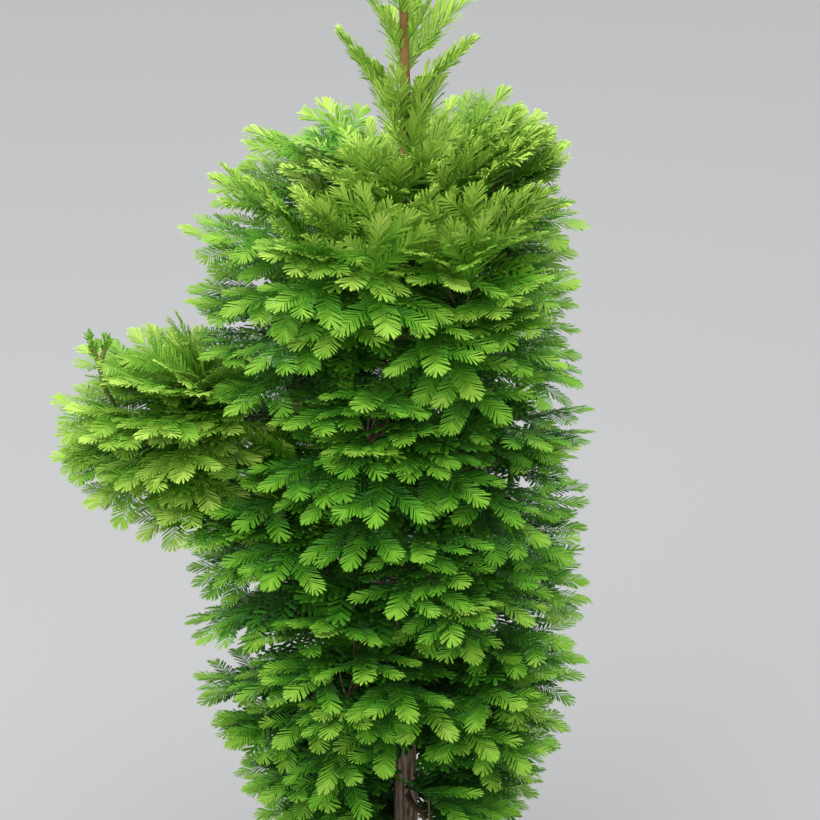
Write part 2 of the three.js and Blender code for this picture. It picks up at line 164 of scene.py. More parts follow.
limbShape = dict(droop=0.25, stemShare=0.66)
boughs = dict(count=23, low=0.032, high=0.544, share=0.33, thick=0.0023, thin=0.0017, turnJitter=14)
arm = dict(height=0.338, azimuth=186, lift=25, length=0.104, thick=0.0043, thin=0.0029,
           roomHeight=0.034, roomTurn=34)
armForks = [
    dict(name="arm_fork_front", along=0.52, azimuth=220, lift=2, reach=0.112),
    dict(name="arm_fork_back", along=0.6, azimuth=142, lift=6, reach=0.104),
    dict(name="arm_fork_upper", along=0.8, azimuth=172, lift=48, reach=0.1),
    dict(name="arm_fork_end", along=1, azimuth=186, lift=8, reach=0.122),
]
fork = dict(share=0.36, thick=0.0024, thin=0.0016)
leaderShoots = [
    dict(height=0.594, azimuth=262, lift=44, reach=0.058),
    dict(height=0.608, azimuth=176, lift=43, reach=0.054),
    dict(height=0.614, azimuth=338, lift=36, reach=0.052),
    dict(height=0.622, azimuth=82, lift=42, reach=0.054),
    dict(height=0.634, azimuth=14, lift=40, reach=0.054),
    dict(height=trunk["height"], azimuth=205, lift=76, reach=0.04),
]


def makeLimb(name, mass, foot, way, reach, length, thick=0, thin=0):
    curve = bend(foot, unit(way - limbShape["droop"] * up), foot + way * length)
    return dict(name=name, mass=mass, foot=foot, way=way, reach=reach, thick=thick, thin=thin, curve=curve,
                axis=(foot, foot + way * reach), stem=stemOf(curve, foot, way, reach, length))


def stemOf(curve, foot, way, reach, length):  # goes on from a bough's tip, or from the trunk itself
    start = curve[2] if length else foot
    leaving = headingOn(curve, 1) if length else way
    return bend(start, leaving, foot + way * reach * limbShape["stemShare"])


def columnLimbs():
    limbs = []
    for index in range(boughs["count"]):
        draw = seededRandom(seed + index)
        azimuth = (index * goldenAngle + jitter(draw, boughs["turnJitter"])) % 360
        z = lerp(crownFoot(azimuth) + boughs["low"], boughs["high"], index / (boughs["count"] - 1))
        isLevel = abs(z - arm["height"]) <= arm["roomHeight"]
        if isLevel and abs(azimuth - arm["azimuth"]) <= arm["roomTurn"]:
            continue  # leaves room for the arm
        lift = liftAt(boughRise, z)
        tipHeight = z + crownReach(z, azimuth) * math.tan(math.radians(lift))
        reach = crownReach(tipHeight, azimuth) / math.cos(math.radians(lift))
        way = pointing(azimuth, lift)
        number = f"{len(limbs) + 1:02d}"
        limbs.append(makeLimb(f"bough_{number}", f"foliage_{number}", trunkCentre(z), way, reach,
                              reach * boughs["share"], boughs["thick"], boughs["thin"]))
    return limbs


def armLimbs():
    way = pointing(arm["azimuth"], arm["lift"])
    whole = makeLimb("arm", None, trunkCentre(arm["height"]), way, arm["length"], arm["length"],
                     arm["thick"], arm["thin"])
    limbs = [whole]
    for each in armForks:
        foot = pointOn(whole["curve"], each["along"])
        mass = each["name"].replace("fork", "foliage")
        forkWay = pointing(each["azimuth"], each["lift"])
        limbs.append(makeLimb(each["name"], mass, foot, forkWay, each["reach"],
                              each["reach"] * fork["share"], fork["thick"], fork["thin"]))
    return limbs


def shootLimbs():
    return [makeLimb(None, f"leader_shoot_{index + 1}", trunkCentre(each["height"]),
                     pointing(each["azimuth"], each["lift"]), each["reach"], 0)
            for index, each in enumerate(leaderShoots)]


# how the crown changes with height: flat layers, its darkest painted shade above the middle, plumes at the
# top

layers = dict(pitch=0.0236, gather=0.5, wave=0.007, waves=3)
shade = dict(share=0.62, spread=0.2)
plumes = dict(low=0.845, high=0.895, lift=34, frontLift=42, press=0.5, whorl=0.4)
shownRise = dict(flatter=0.7, frontDrop=20, dropPower=3)


def plumed(z):  # 0 among the crown's flat layers, 1 among the rising plumes of its top
    return float(smoothStep(plumes["low"], plumes["high"], crownShare(z)))


def shaded(z):  # 1 at the height of the crown's darkest painted shade
    return math.exp(-((crownShare(z) - shade["share"]) / shade["spread"]) ** 2)


def shownLift(z, azimuth):  # flatter than inside the crown, most of all in front, but steep at its top
    front = max(0, -math.sin(math.radians(azimuth)))
    drop = shownRise["frontDrop"] * front * crownShare(z) ** shownRise["dropPower"]
    flat = liftAt(sprayRise, z) * shownRise["flatter"] - drop
    return lerp(flat, plumes["lift"] + plumes["frontLift"] * front, plumed(z))


def layered(z, azimuth):  # a height drawn towards the nearest layer, which waves a little round the trunk
    wave = layers["wave"] * math.sin(math.radians(azimuth * layers["waves"]))
    nearest = round((z + wave) / layers["pitch"]) * layers["pitch"] - wave
    return lerp(z, nearest, layers["gather"] * (1 - plumed(z)))


# a value that follows height: at the crown's foot, so much less at its painted shade, so much more at its
# top

def byHeight(foot, shade, top, power):
    return dict(foot=foot, shade=shade, top=top, power=power)


def atHeight(rule, z):
    return rule["foot"] - rule["shade"] * shaded(z) + rule["top"] * crownShare(z) ** rule["power"]


# where twigs end: a spot on the crown, the way that the last spray points, and its habit

def habit(old, fresh, press=0.0, whorl=0.0, isInner=False, size=1.0):
    # how light its needles are at base and tip, how they press forward and stand all round, and their size
    return dict(old=old, fresh=fresh, press=press, whorl=whorl, isInner=isInner, size=size)


fullness = dict(lowRight=0.1, highRight=-0.04, highLeft=0.07, leftFrom=0.55, leftFull=0.75)
shoulderDrop = dict(back=0.012, front=0.028)
# the deeper shells' darker needles are painted shade, the lighter needles towards the top painted light
shells = [  # from the crown's surface to its heart; run is the shell's own run of drawn numbers
    dict(name="surface", count=250, run=7, turn=0, foot=0.018, head=0.022, reach=(0.92, 1.04), isShown=True,
         isFuller=True, turnSpread=20, liftSpread=14, scale=1, lag=1, size=byHeight(0.88, 0, 0.24, 3),
         old=byHeight(0.1, 0.08, 0.73, 4), fresh=byHeight(0.79, 0.21, 0.31, 3)),
    dict(name="between", count=78, run=29, turn=200, foot=0.026, head=0.03, reach=(0.8, 0.96), isShown=True,
         isFuller=False, turnSpread=40, liftSpread=16, scale=0.9, lag=1, size=byHeight(0.86, 0, 0.24, 3),
         old=byHeight(0.08, 0.06, 0.73, 4), fresh=byHeight(0.62, 0.22, 0.42, 3)),
    dict(name="inner", count=340, run=13, turn=70, foot=0.03, head=0.05, reach=(0.5, 0.84), isShown=False,
         isFuller=False, turnSpread=50, liftSpread=20, scale=0.85, lag=0.3, size=byHeight(1, 0, 0, 1),
         old=byHeight(0.04, 0, 0.72, 3), fresh=byHeight(0.27, 0.13, 0.68, 3), lift=4, limbLift=1),
    dict(name="heart", count=180, run=17, turn=25, foot=0.06, head=0.062, reach=(0.3, 0.52), isShown=False,
         isFuller=False, turnSpread=90, liftSpread=50, scale=0.62, lag=0, size=byHeight(1, 0, 0, 1),
         old=byHeight(0.03, 0, 0.55, 4), fresh=byHeight(0.18, 0, 0.66, 4), lift=0, limbLift=0),
]


def heightAt(azimuth, share, foot, head):  # a height in the crown, so far in from its foot and shoulder
    behind = math.sin(math.radians(azimuth))
    drop = max(shoulderDrop["back"] * behind, -shoulderDrop["front"] * behind)
    return lerp(crownFoot(azimuth) + foot, crownShoulder(azimuth) - head - drop, share)


def sideways(high, azimuth):  # the crown is fuller low on its right and high on its left
    right = math.cos(math.radians(azimuth))
    if right > 0:
        return 1 + right * lerp(fullness["lowRight"], fullness["highRight"], high)
    left = float(smoothStep(fullness["leftFrom"], fullness["leftFull"], high))
    return 1 - right * fullness["highLeft"] * left


def shellTips(shell):
    tips = []
    isShown = shell["isShown"]
    for index in range(shell["count"]):
        draw = seededRandom(seed * shell["run"] + index)
        azimuth = index * goldenAngle + shell["turn"]
        z = heightAt(azimuth, (index + 0.5) / shell["count"], shell["foot"], shell["head"])
        lift = shownLift(z, azimuth) if isShown else shell["lift"] + shell["limbLift"] * liftAt(sprayRise, z)
        way = pointing(azimuth + jitter(draw, shell["turnSpread"]), lift + jitter(draw, shell["liftSpread"]))
        reach = crownReach(z, azimuth) * lerp(*shell["reach"], draw())
        if shell["isFuller"]:
            reach *= sideways(crownShare(z), azimuth)
        spot = trunkCentre(layered(z, azimuth) if isShown else z) + pointing(azimuth, 0) * reach
        rising = plumed(z) if isShown else 0
        own = habit(atHeight(shell["old"], z), atHeight(shell["fresh"], z), plumes["press"] * rising,
                    plumes["whorl"] * rising, not isShown, atHeight(shell["size"], z))
        lag = draw() * shell["lag"] if shell["lag"] else 0
        tips.append(dict(spot=spot, way=way, scale=shell["scale"], lag=lag, habit=own,
                         roll=jitter(draw, 2 * fan["roll"])))
    print(shell["name"], "shell", len(tips), "twigs")
    return tips


# the top's rising shoots have the lightest needles: painted light on faces turned from the lamps
topShoots = dict(count=38, run=23, turn=12, turnSpread=30, liftSpread=14, heightSpread=0.02, first=1.5,
                 reach=0.092, shift=np.array((0.009, 0, 0)), lift=76, outerDrop=40, frontHeld=38,
                 innerBelow=0.03, outerBelow=0.052, frontBelow=0.026, backBelow=0.014,
                 scale=0.9, own=habit(0.86, 1.12, 0.5, 0.45, size=1.2))


def topTips():  # rising shoots on the crown's domed top, from the leader out to its shoulder
    tips = []
    top = topShoots
    for index in range(top["count"]):
        draw = seededRandom(seed * top["run"] + index)
        outward = math.sqrt((index + top["first"]) / (top["count"] + 1))
        azimuth = index * goldenAngle + top["turn"]
        behind = math.sin(math.radians(azimuth))
        front, back = max(0, -behind), max(0, behind)
        lift = top["lift"] - (top["outerDrop"] - top["frontHeld"] * front) * outward
        way = pointing(azimuth + jitter(draw, top["turnSpread"]), lift + jitter(draw, top["liftSpread"]))
        outerBelow = top["outerBelow"] + top["frontBelow"] * front
        below = lerp(top["innerBelow"], outerBelow, outward ** 2) + top["backBelow"] * back
        z = crownShoulder(azimuth) - below + jitter(draw, top["heightSpread"])
        spot = trunkCentre(z) + pointing(azimuth, 0) * top["reach"] * outward + top["shift"]
        tips.append(dict(spot=spot, way=way, scale=top["scale"], habit=top["own"], lag=draw(),
                         roll=jitter(draw, 2 * fan["roll"])))
    return tips


# the arm's needles are lighter than the column's: painted light, as if shining through them
armCrown = dict(centre=np.array((-0.147, -0.02, 0.415)), size=np.array((0.07, 0.069, 0.068)), tips=44,
                run=11, pitch=0.031, facing=36, steepFacing=170, upperRise=0.5, lowerRise=0.2, rise=0.16,
                frontDrop=0.2, outward=0.35, scale=0.8, innerScale=0.75, own=habit(0.6, 0.98, 0.15, 0.05))
armShells = [  # behind the arm's surface, each turned away from the one outside it, in radians; darker as painted shade
    dict(share=0.78, turn=0.7, shift=np.array((0, 0, 0)), rollWay=1, own=habit(0.45, 0.84, 0.1)),
    dict(share=0.52, turn=1.4, shift=np.array((0.012, 0, -0.008)), rollWay=-1,
         own=habit(0.34, 0.7, isInner=True)),
]
armPit = dict(count=40, run=19, along=(0.4, 1), forward=0.5, rise=0.1, away=(0.042, 0.062), upperAway=0.026,
              scale=0.8, own=habit(0.42, 0.88))
stemSpray = dict(reach=0.97, scale=0.75, lag=1, own=habit(0.3, 0.88, 0.1, 0.1))


def armTips():
    tips = []
    for index in range(armCrown["tips"]):
        draw = seededRandom(seed * armCrown["run"] + index)
        rise = 1 - (2 * index + 1) / armCrown["tips"]
        flat = math.sqrt(1 - rise * rise)
        turn = math.radians(index * goldenAngle)
        out = np.array((flat * math.cos(turn), flat * math.sin(turn), rise))
        roll = jitter(draw, 2 * fan["roll"]) - armCrown["facing"] * max(0, -out[0])  # turned to the light
        steepness = armCrown["upperRise"] if rise > 0 else armCrown["lowerRise"]
        rising = out[2] * steepness + armCrown["rise"] - armCrown["frontDrop"] * max(0, -out[1])
        way = unit(np.array((out[0] - armCrown["outward"], out[1], rising)))
        spot = armCrown["centre"] + armCrown["size"] * out
        layer = round(spot[2] / armCrown["pitch"]) * armCrown["pitch"]
        spot[2] = lerp(spot[2], layer, layers["gather"])
        tips.append(dict(spot=spot, way=way, scale=armCrown["scale"], lag=draw(), roll=roll,
                         habit=armCrown["own"]))
    return tips


def innerArmTips():
    tips = []
    for tip in armTips():
        out = tip["spot"] - armCrown["centre"]
        for shell in armShells:
            spot = armCrown["centre"] + turned(out, up, shell["turn"]) * shell["share"] + shell["shift"]
            tips.append(dict(tip, spot=spot, way=turned(tip["way"], up, shell["turn"]), habit=shell["own"],
                             scale=armCrown["innerScale"], roll=tip["roll"] * shell["rollWay"]))
    return tips


def armPitTips(whole):  # sprays round the arm's limb, where it comes out of the column
    tips = []
    aside = unit(np.cross(whole["way"], up))
    above = np.cross(aside, whole["way"])
    for index in range(armPit["count"]):
        draw = seededRandom(seed * armPit["run"] + index)
        turn = math.radians(index * goldenAngle)
        out = aside * math.cos(turn) + above * math.sin(turn)
        foot = pointOn(whole["curve"], lerp(*armPit["along"], (index + 0.5) / armPit["count"]))
        way = unit(out + whole["way"] * armPit["forward"] + up * armPit["rise"])
        upper = max(0, out[2])
        away = lerp(*armPit["away"], draw()) + armPit["upperAway"] * upper
        roll = jitter(draw, 2 * fan["roll"]) - armCrown["steepFacing"] * upper
        tips.append(dict(spot=foot + out * away, way=way, scale=armPit["scale"], lag=0, roll=roll,
                         habit=armPit["own"]))
    return tips


def stemTip(limb):  # a limb's own leading spray; those on the arm are turned to the light
    isArm = limb["name"].startswith("arm")
    roll = -armCrown["steepFacing"] * limb["way"][2] if isArm else 0
    spot = limb["foot"] + limb["way"] * limb["reach"] * stemSpray["reach"]
    return dict(spot=spot, way=limb["way"], scale=stemSpray["scale"], lag=stemSpray["lag"], roll=roll,
                habit=stemSpray["own"])


def distanceToAxis(axis, point):
    start, end = axis
    line = end - start
    share = np.clip(np.dot(point - start, line) / np.dot(line, line), 0, 1)
    return np.linalg.norm(start + line * share - point)


# a fan is what one twig carries: a spray at its end and shorter ones to either side, in one plane

fan = dict(length=0.06, shortest=0.02, tipNeedles=0.0095, straighten=0.5, sag=0.075, roll=38, rollShare=0.36,
           sideAngle=49, pressedAngle=26, sides=(0.28, 0.45, 0.62), sideLengths=(0.041, 0.034, 0.026),
           angleSpread=7, liftSpread=0.1, leanSpread=10, sideScales=(0.85, 1.12), sideFresh=0.84)
twigShape = dict(shortest=0.01, thick=0.0008, thin=0.0005, stiffness=0.3, leaveAngle=40,
                 earliest=0.08, lag=0.3, latest=0.95)
sprays = []  # every spray of the tree, before it is grown
twigs = []  # every woody twig: its curve and its two radii


def leavingPlace(stem, tip):
    line = stem[2] - stem[0]
    ahead = np.dot(tip["spot"] - stem[0], line) / np.dot(line, line)
    aside = np.linalg.norm(tip["spot"] - stem[0] - line * ahead)
    back = aside / math.tan(math.radians(twigShape["leaveAngle"])) / np.linalg.norm(line)
    return min(twigShape["latest"], max(twigShape["earliest"] + twigShape["lag"] * tip["lag"], ahead - back))


def addSpray(root, way, over, length, sag, ownHabit):
    side = unit(np.cross(way, over))
    sprays.append(dict(ownHabit, root=root, way=way, side=side, over=np.cross(side, way), length=length,
                       sag=sag))


def ribOf(spray, further=0.0):  # a spray's own curve, and so far beyond it
    along = spray["way"] * (spray["length"] + further)
    return np.array((spray["root"], spray["root"] + along / 2,
                     spray["root"] + along - spray["over"] * spray["sag"] * spray["length"]))


def growFan(limb, tip):
    stem = limb["stem"]
    place = leavingPlace(stem, tip)
    start = pointOn(stem, place)
    way = unit(unit(tip["spot"] - start) * fan["straighten"] + tip["way"])
    end = tip["spot"] - way * fan["tipNeedles"]  # needles reach on past the end of their spray's rib
    length = min(fan["length"] * tip["scale"], max(fan["shortest"], np.linalg.norm(end - start)))
    root = end - way * length
    if np.linalg.norm(root - start) > twigShape["shortest"]:
        leaving = unit(unit(root - start) + headingOn(stem, place))
        curve = bend(start, leaving, root, twigShape["stiffness"])
        twigs.append((curve, twigShape["thick"], twigShape["thin"]))
    else:
        root = start
    side = turned(unit(np.cross(way, up)), way, math.radians(tip["roll"] * fan["rollShare"]))
    over = np.cross(side, way)
    own = tip["habit"]
    addSpray(root, way, over, length, fan["sag"], own)
    growSides(root, way, side, over, length, own, 1 if tip["lag"] > 0.5 else -1)


def growSides(root, way, side, over, length, own, hand):  # shorter sprays, by turns to either side
    sag, lift, lean = fan["sag"], fan["liftSpread"], fan["leanSpread"]
    sideAngle = lerp(fan["sideAngle"], fan["pressedAngle"], own["press"])
    for share, sideLength in zip(fan["sides"], fan["sideLengths"]):
        hand = -hand
        angle = math.radians(sideAngle + dice.uniform(-fan["angleSpread"], fan["angleSpread"]))
        axis = unit(way - over * 2 * sag * share)
        out = unit(axis * math.cos(angle) + side * hand * math.sin(angle) + over * dice.uniform(-lift, lift))
        foot = root + way * length * share - over * sag * length * share ** 2
        leaning = turned(over, axis, math.radians(dice.uniform(-lean, lean)))
        sideScale = length / fan["length"] * dice.uniform(*fan["sideScales"])
        sideHabit = dict(own, fresh=own["fresh"] * lerp(fan["sideFresh"], 1, share))
        addSpray(foot, out, leaning, sideLength * sideScale, sag, sideHabit)


# small sprays along the wood itself, to either side, painted dark as shade inside the crown

woodSprays = dict(length=0.027, lengths=(0.8, 1.15), angle=48, angleSpread=10, lifts=(-0.1, 0.25), sag=0.05)
twigSprays = dict(shares=(0.55,), longTwig=0.024, old=byHeight(0.1, 0, 0.4, 3),
                  fresh=byHeight(0.4, 0, 0.45, 3))
stemSprays = dict(shares=(0.15, 0.4, 0.65, 0.9), old=byHeight(0.15, 0, 0.4, 3),
                  fresh=byHeight(0.5, 0, 0.4, 3))


def clotheWood(curve, kind):
    tipHeight = curve[2][2]
    own = habit(atHeight(kind["old"], tipHeight), atHeight(kind["fresh"], tipHeight), isInner=True)
    spread = woodSprays["angleSpread"]
    for share in kind["shares"]:
        heading = headingOn(curve, share)
        side = unit(np.cross(heading, up))
        for hand in (-1, 1):
            angle = math.radians(woodSprays["angle"] + dice.uniform(-spread, spread))
            rise = up * dice.uniform(*woodSprays["lifts"])
            way = unit(heading * math.cos(angle) + side * hand * math.sin(angle) + rise)
            over = unit(np.cross(np.cross(way, up), way))
            length = woodSprays["length"] * dice.uniform(*woodSprays["lengths"])
            addSpray(pointOn(curve, share), way, over, length, woodSprays["sag"], own)


# the leader's shoots are brushes: needles all round, pressed forward, from the very foot

# the brushes' needles are painted light, over the shade they cast on themselves
brush = dict(gap=0.006, gapShare=0.1, length=0.86, sag=-0.1, spread=20, roll=17, sideReach=0.8,
             own=habit(0.94, 1.06, 0.75, 0.45, size=1.4))
leaderSprays = [  # single brushes straight on the leader, between its shoots
    dict(height=0.572, azimuth=292, lift=56, reach=0.05),
    dict(height=0.578, azimuth=236, lift=58, reach=0.05),
    dict(height=0.586, azimuth=322, lift=52, reach=0.046),
    dict(height=0.59, azimuth=204, lift=54, reach=0.046),
    dict(height=0.598, azimuth=316, lift=50, reach=0.034),
    dict(height=0.604, azimuth=214, lift=50, reach=0.034),
    dict(height=0.64, azimuth=222, lift=50, reach=0.03),
    dict(height=0.646, azimuth=332, lift=52, reach=0.028),
    dict(height=0.65, azimuth=186, lift=44, reach=0.034),
    dict(height=0.655, azimuth=64, lift=50, reach=0.026),
    dict(height=0.661, azimuth=246, lift=60, reach=0.026),
    dict(height=0.668, azimuth=318, lift=54, reach=0.03),
    dict(height=0.676, azimuth=150, lift=56, reach=0.028),
]


def growBrush(foot, way, reach, roll=0.0):
    side = turned(unit(np.cross(way, up)), way, math.radians(roll))
    root = foot + way * min(brush["gap"], reach * brush["gapShare"])
    addSpray(root, way, np.cross(side, way), reach * brush["length"], brush["sag"], brush["own"])


def growShoot(shoot):  # a pair of brushes, the second one shorter and turned aside
    for sign in (0, 1):
        turn = math.radians(sign * brush["spread"] / math.hypot(shoot["way"][0], shoot["way"][1]))
        reach = shoot["reach"] * (brush["sideReach"] if sign else 1)
        growBrush(shoot["foot"], turned(shoot["way"], up, turn), reach, sign * brush["roll"])


# two bare upright shoots at the arm's end, each with a tuft of young needles

uprights = dict(base=np.array((-0.179, -0.03, 0.437)), inward=np.array((0.004, 0.022, -0.012)),
                tips=(np.array((-0.1868, -0.03, 0.47)), np.array((-0.1785, -0.03, 0.467))), forkAlong=0.5,
                radius=0.0016, taper=0.8, sides=10, steps=6, colour=(0.12, 0.15, 0.035))
tuft = dict(sprays=5, length=0.006, step=0.08, lift=10, forward=1.6, spread=0.8, nudge=0.01,
            own=habit(0.6, 0.82, 0.8, 0.8, size=0.5))
greenStems = []


def growUprights(endFork):
    base = uprights["base"]
    first, second = uprights["tips"]
    branch = lerp(base, first, uprights["forkAlong"])
    lower = np.array((endFork["stem"][2], base + uprights["inward"], base))
    upper = bend(base, unit(first - base), first)
    beside = bend(branch, unit(second - branch), second)
    greenStems.extend((lower, upper, beside))
    for curve in (upper, beside):
        growTuft(curve)


def growTuft(curve):
    heading = headingOn(curve, 1)
    for index in range(tuft["sprays"]):
        out = pointing(index * goldenAngle, tuft["lift"])
        way = unit(heading * tuft["forward"] + out * (tuft["spread"] if index else 0))
        over = unit(np.cross(np.cross(way, out + tuft["nudge"]), way))
        addSpray(pointOn(curve, 1 - tuft["step"] * index), way, over, tuft["length"], 0, tuft["own"])


# where the trunk shows at the crown's foot: heights on it, seen from the camera, and room to either side

window = dict(heights=((0.108, 0.141), (0.158, 0.169)), room=0.013, samples=7)


def hidesTrunk(curve):  # whether any of a curve lies in front of the trunk where it shows
    eye = np.array(camera["place"])
    for share in np.linspace(0, 1, window["samples"]):
        spot = pointOn(curve, share)
        sight = spot - eye
        seen = eye - sight * eye[1] / sight[1]
        isLevel = any(low < seen[2] < high for low, high in window["heights"])
        if isLevel and spot[1] < 0 and abs(seen[0] - trunkCentre(seen[2])[0]) < window["room"]:
            return True
    return False


def growCrown():
    column, arms, shoots = columnLimbs(), armLimbs(), shootLimbs()
    wide = [limb for limb in column + arms if limb["mass"]]
    tips = [tip for shell in shells for tip in shellTips(shell)]
    tips += topTips() + armTips() + innerArmTips() + armPitTips(arms[0])
    for tip in tips:
        middle = tip["spot"] - tip["way"] * fan["length"] / 2
        growFan(min(wide, key=lambda limb: distanceToAxis(limb["axis"], middle)), tip)
    for curve in [twig[0] for twig in twigs]:
        if np.linalg.norm(curve[2] - curve[0]) > twigSprays["longTwig"]:
            clotheWood(curve, twigSprays)
    for limb in wide:
        growFan(limb, stemTip(limb))
        clotheWood(limb["stem"], stemSprays)
    for shoot in shoots:
        growShoot(shoot)
    for each in leaderSprays:
        growBrush(trunkCentre(each["height"]), pointing(each["azimuth"], each["lift"]), each["reach"])
    growUprights(arms[-1])
    sprays[:] = [spray for spray in sprays if not hidesTrunk(ribOf(spray, fan["tipNeedles"]))]
    twigs[:] = [twig for twig in twigs if not hidesTrunk(twig[0])]
    print("crown", len(tips), "fans", len(sprays), "sprays")
    return column, arms, shoots


# materials

def setInputs(node, values):
    for name, value in values.items():
        node.inputs[name].default_value = value
    return node


def plainMaterial(name, values):
    material = bpy.data.materials.new(name)
    material.use_nodes = True
    setInputs(material.node_tree.nodes["Principled BSDF"], values)
    return material


# meshes from arrays, for what comes in thousands

def meshFromArrays(name, points, faceSets):
    mesh = bpy.data.meshes.new(name)
    corners = np.concatenate([faces.ravel() for faces in faceSets])
    sizes = np.concatenate([np.full(len(faces), faces.shape[1]) for faces in faceSets])
    mesh.vertices.add(len(points))
    mesh.vertices.foreach_set("co", points.astype(np.float32).ravel())
    mesh.loops.add(len(corners))
    mesh.loops.foreach_set("vertex_index", corners.astype(np.int32))
    mesh.polygons.add(len(sizes))
    mesh.polygons.foreach_set("loop_start", (np.cumsum(sizes) - sizes).astype(np.int32))
    mesh.update(calc_edges=True)
    return mesh


def addPiece(mesh, material, nodes):
    piece = bpy.data.objects.new(mesh.name, mesh)
    bpy.context.collection.objects.link(piece)
    mesh.materials.append(material)
    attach(piece, "root")
    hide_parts(*nodes)


aslant = np.array((0.31, 0.17, 0.93))  # a tube's first side faces across this way, along which no curve runs


def tubeArrays(curves, thick, thin, sides, steps):  # round tubes along curves, all at once
    curves, thick, thin = np.array(curves), np.array(thick), np.array(thin)
    share = np.linspace(0, 1, steps + 1)[None, :, None]
    start, middle, end = (curves[:, None, index] for index in range(3))
    centres = start * (1 - share) ** 2 + middle * 2 * share * (1 - share) + end * share ** 2
    headings = unit((middle - start) * (1 - share) + (end - middle) * share)
    flat = unit(np.cross(headings, aslant))
    tall = np.cross(flat, headings)
    radius = lerp(thick[:, None], thin[:, None], share[..., 0])[..., None, None]
    turn = np.arange(sides) * 2 * math.pi / sides
    ring = flat[..., None, :] * np.cos(turn)[:, None] + tall[..., None, :] * np.sin(turn)[:, None]
    points = (centres[..., None, :] + ring * radius).reshape(-1, 3)
    first = (np.arange(len(curves)) * (steps + 1) * sides)[:, None, None]
    row = first + (np.arange(steps) * sides)[None, :, None]
    here, beside = np.arange(sides), (np.arange(sides) + 1) % sides
    walls = np.stack((row + here, row + sides + here, row + sides + beside, row + beside), axis=-1)
    foot = first[:, 0] + np.arange(sides)
    top = first[:, 0] + steps * sides + np.arange(sides)[::-1]
    return points, [walls.reshape(-1, 4), np.concatenate((foot, top))]


def tubeMesh(name, curves, thick, thin, skin):
    mesh = meshFromArrays(name, *tubeArrays(curves, thick, thin, skin["sides"], skin["steps"]))
    mesh.shade_smooth()
    return mesh


# needles: their own shape, where they stand along a spray, how they turn, and how light they are

needle = dict(length=0.0118, lengths=(0.92, 1.06), width=0.00113, innerWidth=0.0031, widths=(0.9, 1.08),
              footWidth=0.6, thick=0.00036, shoulder=0.84, droop=0.06, footSize=0.6, fullFrom=0.25,
              tipShorter=0.2, pressedShorter=0.3, shortSpray=0.66, sprayGain=8, smallest=0.8)
needleRow = dict(pitch=0.00148, innerPitch=0.0045, pressedCloser=0.4, fewest=5, start=0.9, stray=0.3,
                 endRoom=0.4, lowest=0.02, highest=0.998, tipShare=0.2, tipRun=0.1)
needleTurn = dict(foot=60, body=17, tip=35, pressedFoot=38, pressedTip=26, stray=3.2, vee=4, pressedVee=18,
                  veeStray=4.5, whorl=75)
needleLight = dict(freshFrom=0.22, tip=0.06, tipFrom=0.8, sprayStray=0.05, stray=0.045)
# the darkest tones carry painted shade, the lightest painted light besides the needles' own lighter tips
tones = [  # name, base colour, and how light a needle has to be
    ("needlesCore", (0.008, 0.054, 0.002), 0.0),
    ("needlesDeep", (0.015, 0.092, 0.003), 0.13),
    ("needlesShade", (0.027, 0.137, 0.004), 0.24),
    ("needlesMoss", (0.044, 0.183, 0.006), 0.35),
    ("needlesGreen", (0.066, 0.228, 0.008), 0.46),
    ("needlesLeaf", (0.096, 0.268, 0.013), 0.57),
    ("needlesBright", (0.13, 0.306, 0.019), 0.67),
    ("needlesFresh", (0.172, 0.343, 0.029), 0.77),
    ("needlesTip", (0.208, 0.37, 0.04), 0.88),
    ("needlesGlow", (0.264, 0.43, 0.055), 0.965),
    ("needlesPlume", (0.342, 0.522, 0.076), 1.04),
]
needleFacets = np.array((  # a needle's corners: two at its foot, two at its shoulder, its ridge and its tip
    (0, 1, 4), (1, 3, 4), (2, 0, 4), (0, 2, 3), (0, 3, 1), (3, 5, 4), (5, 2, 4), (2, 5, 3)))
leafFinish = {"Roughness": 0.6, "Specular IOR Level": 0.2}


def needlePlaces(rows):  # which spray each needle stands on, its number there, and how far along it is
    outerPitch = needleRow["pitch"] * (1 - needleRow["pressedCloser"] * rows["press"])
    pitch = np.where(rows["isInner"], needleRow["innerPitch"], outerPitch)
    counts = 2 * np.maximum(needleRow["fewest"], np.round(rows["length"] / pitch)).astype(int)
    which = np.repeat(np.arange(len(counts)), counts)
    order = np.arange(len(which)) - np.repeat(np.cumsum(counts) - counts, counts)
    strays = dice.uniform(-needleRow["stray"], needleRow["stray"], len(which))
    share = (order + needleRow["start"] + strays) / (counts[which] + needleRow["endRoom"])
    return which, order, np.clip(share, needleRow["lowest"], needleRow["highest"])[:, None]


